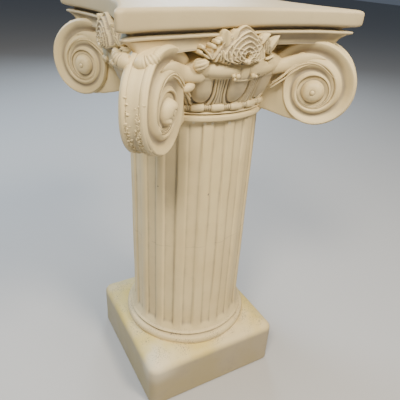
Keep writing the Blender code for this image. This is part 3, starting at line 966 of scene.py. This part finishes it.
def slab_point(i, j):
    if j < len(slab_profile):
        inset, height = slab_profile[j]
        point = slab_plan(i % slab_columns, inset)
    else:
        height = SLAB_TOP
        point = slab_plan(i % slab_columns, SLAB_PROFILE[-1][0]) * TOP_RINGS[j - len(slab_profile)]
    return Vector((point.x, point.y, height))


bm = bmesh.new()
sheet(bm, slab_columns, len(slab_profile) + len(TOP_RINGS) - 1, slab_point)
bmesh.ops.remove_doubles(bm, verts=bm.verts, dist=1e-6)
close_rims(bm)
for vert in bm.verts:
    spot = Vector(vert.co)
    vert.co = racked(spot)
    side = Vector((spot.x, spot.y, 0.0)).normalized()
    vert.co += side * (wave(spot, *SIDE_WAVE) - SIDE_WAVE[1] / 2)
    vert.co.z += wave(spot, *TOP_WAVE) * ramp(spot.z, *TOP_WAVE_ENDS) - TOP_SUNK
slab_plaster = plaster_finish("slab_plaster", PLASTER, SLAB_DULLNESS)
slab = cast_piece(bm, "top_slab", slab_plaster, 1)
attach(slab, "root")
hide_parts("column_pedestal")

# --- Roses ---
# A full-blown rose in the middle of each side with a spray of curled leaves to its left and
# pointed leaves to its right, pressed as relief in the mould and cast with the bell and slab.
ROSE_HEART = (-0.0065, 0.6975)
ROSE_LEFT = 0.0430
ROSE_RIGHT = 0.0395
ROSE_UP = 0.0430
ROSE_DOWN = 0.0125
ROSE_RISE = 0.0215
ROSE_RIM_SHARE = 0.38
ROSE_ROUNDNESS = 1.7
ROSE_END = 1.5
ROSE_CUP = (0.012, 0.3, 0.007)
PETAL_POINT = 1.45
PETAL_MIDDLE = 0.40
PETAL_LENGTH = 0.60
PETAL_WIDTH = 1.42
PETAL_LIP = (0.0034, 1.3, 0.5)
ROSE_ROUNDS = (
    # reach from the heart to the rim, petals in the round, turn of the first
    (0.22, 2, 75.0), (0.38, 3, 95.0), (0.54, 3, 83.0), (0.70, 3, 95.0), (0.85, 4, 86.0),
    (1.0, 5, 92.0),
)
ROSE_BACK = (0.1480, 1.6)
ROSE_FIELD = (-0.0805, 0.0665, 0.6820, 0.7440)
ROSE_STEP = 0.0007
BURIED = -0.020
ROSE_SMOOTHING = 0.35
LEAF_BLUNTNESS = 0.6
LEAF_VEIN = 0.0013
LEAF_EDGE = 0.55
LEAF_SLOPE = 0.15
KNOB_ROUNDNESS = 0.8
ROSE_LEAVES = (
    # middle across, middle up, half length, half width, tilt from upright, height, ribs
    (-0.0360, 0.7195, 0.0165, 0.0092, 14.0, 0.0140, 1), (-0.0250, 0.7240, 0.0120, 0.0060, -16.0, 0.0150, 1),
    (-0.0455, 0.6990, 0.0090, 0.0021, 6.0, 0.0160, 0), (-0.0415, 0.6985, 0.0100, 0.0021, 9.0, 0.0172, 0),
    (-0.0373, 0.6980, 0.0105, 0.0021, 12.0, 0.0182, 0), (-0.0330, 0.6975, 0.0105, 0.0021, 14.0, 0.0190, 0),
    (-0.0664, 0.7001, 0.0100, 0.0022, 58.0, 0.0120, 0), (-0.0645, 0.7050, 0.0102, 0.0022, 50.0, 0.0125, 0),
    (-0.0573, 0.7060, 0.0080, 0.0022, 2.0, 0.0125, 0), (-0.0508, 0.7044, 0.0110, 0.0034, -28.0, 0.0140, 0),
    (-0.0500, 0.6972, 0.0070, 0.0024, -17.0, 0.0150, 0), (-0.0610, 0.7010, 0.0090, 0.0020, 40.0, 0.0125, 0),
    (0.0270, 0.7215, 0.0095, 0.0070, -35.0, 0.0150, 1), (0.0330, 0.7120, 0.0120, 0.0066, 12.0, 0.0145, 3),
    (0.0390, 0.7050, 0.0085, 0.0050, 30.0, 0.0130, 2), (0.0470, 0.7125, 0.0165, 0.0092, -38.0, 0.0095, 1),
    (0.0430, 0.6935, 0.0085, 0.0040, -72.0, 0.0100, 1), (0.0475, 0.6895, 0.0075, 0.0036, -50.0, 0.0080, 1),
)
ROSE_KNOBS = (
    # middle across, middle up, radius, height
    (-0.0718, 0.7118, 0.0034, 0.0130), (-0.0571, 0.7131, 0.0036, 0.0150), (-0.0510, 0.7187, 0.0036, 0.0140),
    (-0.0473, 0.7218, 0.0030, 0.0140), (-0.0743, 0.7050, 0.0032, 0.0125), (-0.0060, 0.6920, 0.0036, 0.0225),
    (-0.0105, 0.6935, 0.0032, 0.0225),
)


def flower_height(across, up):
    """Height of the rose's rounds of petals, each lower round lapped by the ones inside it."""
    off, rise = across - ROSE_HEART[0], up - ROSE_HEART[1]
    u = off / (ROSE_LEFT if off < 0.0 else ROSE_RIGHT)
    v = rise / (ROSE_UP if rise > 0.0 else ROSE_DOWN)
    best = BURIED
    if u * u + v * v > ROSE_END:
        return best
    lip_height, steep, sunk = PETAL_LIP
    for reach, count, first in ROSE_ROUNDS:
        vault = math.sqrt(max(1.0 - reach ** ROSE_ROUNDNESS, 0.0))
        level = ROSE_RISE * (ROSE_RIM_SHARE + (1.0 - ROSE_RIM_SHARE) * vault)
        length = PETAL_LENGTH * reach
        width = PETAL_WIDTH * reach / math.sqrt(count)
        for k in range(count):
            turn = math.radians(first + 360.0 * k / count)
            radial = (u * math.cos(turn) + v * math.sin(turn) - PETAL_MIDDLE * reach) / length
            beside = (v * math.cos(turn) - u * math.sin(turn)) / width
            edge = abs(radial) ** PETAL_POINT + abs(beside) ** PETAL_POINT
            if edge < 1.0:
                lip = lip_height * (steep * edge ** 3 - sunk) * min(reach * 3.0, 1.0)
                best = max(best, level + lip)
    depth, flat, size = ROSE_CUP
    return best - depth * math.exp(-((u * u + v * v * flat) / size))


def rose_height(across, up):
    """Height of the rose, its leaves and knobs over their bed, or BURIED where there is nothing."""
    best = flower_height(across, up)
    for middle, height, long_half, wide_half, tilt, proud, ribs in ROSE_LEAVES:
        lean = math.radians(tilt)
        x, z = across - middle, up - height
        along = (z * math.cos(lean) - x * math.sin(lean)) / long_half
        beside = (x * math.cos(lean) + z * math.sin(lean)) / wide_half
        if abs(along) >= 1.0:
            continue
        edge = (1.0 - along * along) ** LEAF_BLUNTNESS
        if abs(beside) < edge:
            share = beside / edge
            body = LEAF_EDGE + (1.0 - LEAF_EDGE) * dome(share)
            slope = 1.0 - LEAF_SLOPE + LEAF_SLOPE * along
            vein = LEAF_VEIN * math.cos(share * math.pi * ribs * 1.5) if ribs else 0.0
            best = max(best, proud * body * slope + vein)
    for middle, height, size, proud in ROSE_KNOBS:
        close = math.hypot(across - middle, up - height) / size
        if close < 1.0:
            best = max(best, proud - size * KNOB_ROUNDNESS * (1.0 - dome(close)))
    return best


left, right, low, high = ROSE_FIELD
rose_columns = round((right - left) / ROSE_STEP)
rose_rows = round((high - low) / ROSE_STEP)


def rose_bed(across):
    return ROSE_BACK[0] - ROSE_BACK[1] * across * across


def rose_point(i, j):
    across = left + (right - left) * i / rose_columns
    up = low + (high - low) * j / rose_rows
    return Vector((across, -(rose_bed(across) + rose_height(across, up)), up))


bm = bmesh.new()
sheet(bm, rose_columns, rose_rows, rose_point)
buried = [
    face for face in bm.faces
    if all(-vert.co.y < rose_bed(vert.co.x) + BURIED / 2 for vert in face.verts)
]
bmesh.ops.delete(bm, geom=buried, context="FACES")
bmesh.ops.smooth_vert(
    bm, verts=bm.verts[:], factor=ROSE_SMOOTHING, use_axis_x=True, use_axis_y=True, use_axis_z=True,
)
close_rims(bm)
turned_copies(bm, 4)
roses = cast_piece(bm, "side_roses", column_plaster, 1)
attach(roses, "root")
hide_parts("column_pedestal")

# --- Husks and buds ---
# A husk swells from each scroll's inner turn on to the bell, with three thin stems beneath it that
# follow the turn. A round pod and a ribbed bud sit by the left husk of each side. All of the cast.
STEM_RADIUS = 0.0015
STEM_PROUD = 0.0018
STEM_SIDES = 8
STEM_TAPER = 0.8
STEM_DEEPNESS = 1.2
STEM_PATHS = (
    # (out from the eye along the face, up from the eye)
    ((-0.0700, 0.0050), (-0.0620, 0.0115), (-0.0503, 0.0212), (-0.0406, 0.0310), (-0.0263, 0.0405),
     (-0.0115, 0.0449), (0.0045, 0.0424), (0.0160, 0.0355), (0.0277, 0.0255)),
    ((-0.0680, 0.0012), (-0.0590, 0.0080), (-0.0475, 0.0175), (-0.0375, 0.0272), (-0.0245, 0.0368),
     (-0.0110, 0.0425)),
    ((-0.0665, 0.0095), (-0.0580, 0.0162), (-0.0480, 0.0250), (-0.0385, 0.0350), (-0.0250, 0.0440),
     (-0.0110, 0.0476)),
)
HUSK_STATIONS = (
    # out along the diagonal, across it, up, half thickness, half height
    (0.2210, 0.0190, 0.6895, 0.0000, 0.0000), (0.2120, 0.0200, 0.6905, 0.0014, 0.0030),
    (0.2020, 0.0216, 0.6905, 0.0028, 0.0058), (0.1860, 0.0240, 0.6875, 0.0050, 0.0092),
    (0.1710, 0.0250, 0.6820, 0.0062, 0.0108), (0.1590, 0.0275, 0.6775, 0.0078, 0.0114),
    (0.1500, 0.0340, 0.6750, 0.0085, 0.0112), (0.1440, 0.0420, 0.6745, 0.0085, 0.0108),
    (0.1385, 0.0510, 0.6745, 0.0070, 0.0096), (0.1320, 0.0600, 0.6745, 0.0000, 0.0000),
)
POD_STATIONS = (
    (0.1640, 0.0290, 0.6560, 0.0000, 0.0000), (0.1600, 0.0320, 0.6570, 0.0046, 0.0044),
    (0.1530, 0.0360, 0.6590, 0.0068, 0.0062), (0.1450, 0.0400, 0.6600, 0.0040, 0.0040),
    (0.1410, 0.0420, 0.6600, 0.0000, 0.0000),
)
BUD_STATIONS = (
    (0.1500, 0.0400, 0.6850, 0.0000, 0.0000), (0.1500, 0.0445, 0.6868, 0.0068, 0.0070),
    (0.1495, 0.0520, 0.6896, 0.0078, 0.0082), (0.1480, 0.0590, 0.6920, 0.0056, 0.0060),
    (0.1465, 0.0630, 0.6935, 0.0000, 0.0000),
)
BUD_RIBS = 9
BUD_RIB_HEIGHT = 0.07


def stem(made, path):
    """A thin round stem laid along the scroll's face, tapering to its tip."""
    run = smooth_run(path, 6)

    def place(i, j):
        along = (run[min(i + 1, len(run) - 1)] - run[max(i - 1, 0)]).normalized()
        around = math.tau * j / STEM_SIDES
        size = STEM_RADIUS * (1.0 - STEM_TAPER * (i / (len(run) - 1)) ** 3)
        out = run[i].x - along.y * size * math.cos(around)
        up = run[i].y + along.x * size * math.cos(around)
        degrees = math.degrees(math.atan2(up, out))
        proud = STEM_PROUD + size * math.sin(around) * STEM_DEEPNESS
        return scroll_point(math.hypot(out, up), degrees, proud)

    sheet(made, len(run) - 1, STEM_SIDES, place)


def plump(made, stations, pieces, sides, swell):
    """A closed plump form through stations of place, half thickness and half height."""
    run = smooth_run(stations, pieces)

    def place(i, j):
        along = Vector((run[min(i + 1, len(run) - 1)] - run[max(i - 1, 0)])[:3]).normalized()
        thick = along.cross(Vector((0, 0, 1))).normalized()
        tall = thick.cross(along)
        around = math.tau * j / sides
        size = swell(i / (len(run) - 1), around)
        return (Vector(run[i][:3]) + thick * (max(run[i][3], 0.0) * size * math.cos(around))
                + tall * (max(run[i][4], 0.0) * size * math.sin(around)))

    sheet(made, len(run) - 1, sides, place)


def smooth_skin(along, around):
    return 1.0


def bud_skin(along, around):
    return 1.0 + BUD_RIB_HEIGHT * math.cos(BUD_RIBS * around) * math.sin(math.pi * along)


bm = bmesh.new()
for path in STEM_PATHS:
    stem(bm, path)
plump(bm, HUSK_STATIONS, 6, 32, smooth_skin)
copied_across(bm)
plump(bm, POD_STATIONS, 6, 24, smooth_skin)
plump(bm, BUD_STATIONS, 8, 54, bud_skin)
stand_at_corners(bm)
husks = cast_piece(bm, "husks_and_buds", column_plaster, 1)
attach(husks, "root")
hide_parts("column_pedestal")

# --- Corner leaves ---
# Under each horn, cast with it, a leaf parts into two plump curled lobes that roll over the top of
# the scroll and run up under the slab, ribbed at their tails. The nearest is the fullest.
LOBE_STATIONS = (
    # out along the diagonal, across it, up, half thickness, half height
    (0.2385, 0.0010, 0.7020, 0.0000, 0.0000), (0.2390, 0.0035, 0.7005, 0.0070, 0.0074),
    (0.2390, 0.0095, 0.6995, 0.0098, 0.0096), (0.2375, 0.0165, 0.7010, 0.0090, 0.0088),
    (0.2345, 0.0225, 0.7050, 0.0064, 0.0064), (0.2305, 0.0265, 0.7090, 0.0036, 0.0038),
    (0.2270, 0.0280, 0.7115, 0.0000, 0.0000),
)
LOBE_RIBS = 12
LOBE_RIB_HEIGHT = 0.085
LOBE_RIBS_FROM = (0.36, 0.12)
LOBE_RIBS_TO = (0.97, -0.10)
LOBE_ROOT = (0.2300, 0.7060)
LOBE_PIECES = 18
LOBE_SIDES = 28
CORNERS = (
    # the corner's angle, how full its lobes are, how far they have slid across
    (NEAR_CORNER, 1.12, -0.0100), (RIGHT_CORNER, 0.45, -0.0040),
    (45.0, 0.75, -0.0040), (135.0, 0.75, -0.0060),
)


def lobe_skin(along, around):
    tail = ramp(along, *LOBE_RIBS_FROM) * ramp(along, *LOBE_RIBS_TO)
    return 1.0 + LOBE_RIB_HEIGHT * tail * math.cos(math.tau * LOBE_RIBS * along)


bm = bmesh.new()
for corner, fullness, slid in CORNERS:
    before = set(bm.verts)
    for side in (1.0, -1.0):
        stations = [
            (LOBE_ROOT[0] + (out - LOBE_ROOT[0]) * fullness, side * across * fullness + slid,
             LOBE_ROOT[1] + (up - LOBE_ROOT[1]) * fullness, thick * fullness, tall * fullness)
            for out, across, up, thick, tall in LOBE_STATIONS
        ]
        plump(bm, stations, LOBE_PIECES, LOBE_SIDES, lobe_skin)
    fresh = [vert for vert in bm.verts if vert not in before]
    turn = Matrix.Rotation(math.radians(corner), 3, "Z")
    bmesh.ops.rotate(bm, verts=fresh, cent=(0, 0, 0), matrix=turn)
leaves = cast_piece(bm, "corner_leaves", column_plaster, 2)
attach(leaves, "root")
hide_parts("column_pedestal")

# --- Floor, light and camera ---
# A plain pale painted floor that runs to the horizon, with soft boxes round the pedestal: warm ones
# high in front on the left and right and straight above, and two cool ones behind.
FLOOR_HALF = 12.0
LIGHT_AIM = (0.0, 0.0, 0.5)
CAMERA_PLACE = (-0.37676, -0.68698, 0.81157)
CAMERA_TURN = (2.03207, -0.48882, 0.35891)
CAMERA_LENS = 38.891

bm = bmesh.new()
bmesh.ops.create_grid(bm, x_segments=4, y_segments=4, size=FLOOR_HALF)
floor_mesh = bpy.data.meshes.new("studio_floor")
bm.to_mesh(floor_mesh)
bm.free()
floor = placed("studio_floor", floor_mesh)
floor_paint = bpy.data.materials.new("floor_paint")
floor_paint.use_nodes = True
paint = floor_paint.node_tree.nodes["Principled BSDF"].inputs
paint["Base Color"].default_value = (0.40, 0.39, 0.375, 1.0)
paint["Roughness"].default_value = 0.8
floor_mesh.materials.append(floor_paint)


def soft_box(name, place, size, power, colour):
    lamp = bpy.data.lights.new(name, "AREA")
    lamp.shape = "DISK"
    lamp.size = size
    lamp.energy = power
    lamp.color = colour
    made = placed(name, lamp)
    made.location = place
    made.rotation_mode = "QUATERNION"
    made.rotation_quaternion = (Vector(place) - Vector(LIGHT_AIM)).to_track_quat("Z", "Y")


soft_box("left_key", (-1.1, -1.1, 2.2), 0.6, 58.0, (1.0, 0.92, 0.78))
soft_box("right_key", (0.5, -1.5, 2.1), 0.6, 64.0, (1.0, 0.90, 0.74))
soft_box("top_box", (0.0, -0.1, 3.3), 1.2, 50.0, (1.0, 0.95, 0.88))
soft_box("cool_box", (-1.2, 1.9, 1.9), 1.0, 62.0, (0.50, 0.72, 1.0))
soft_box("back_box", (1.3, 2.6, 1.5), 0.9, 44.0, (0.70, 0.84, 1.0))
world = bpy.data.worlds.new("studio")
world.use_nodes = True
sky = world.node_tree.nodes["Background"].inputs
sky["Color"].default_value = (0.66, 0.79, 1.0, 1.0)
sky["Strength"].default_value = 0.14
bpy.context.scene.world = world

camera_data = bpy.data.cameras.new("camera")
camera_data.lens = CAMERA_LENS
camera_data.sensor_width = 36.0
camera_data.clip_start = 0.01
camera_data.clip_end = 100.0
camera = placed("camera", camera_data)
camera.rotation_mode = "QUATERNION"
turn = Vector(CAMERA_TURN)
seen = Matrix.Rotation(turn.length, 3, turn.normalized())
facing = Matrix((seen[0], -seen[1], -seen[2])).transposed()
camera.rotation_quaternion = facing.to_quaternion()
camera.location = CAMERA_PLACE
bpy.context.scene.camera = camera
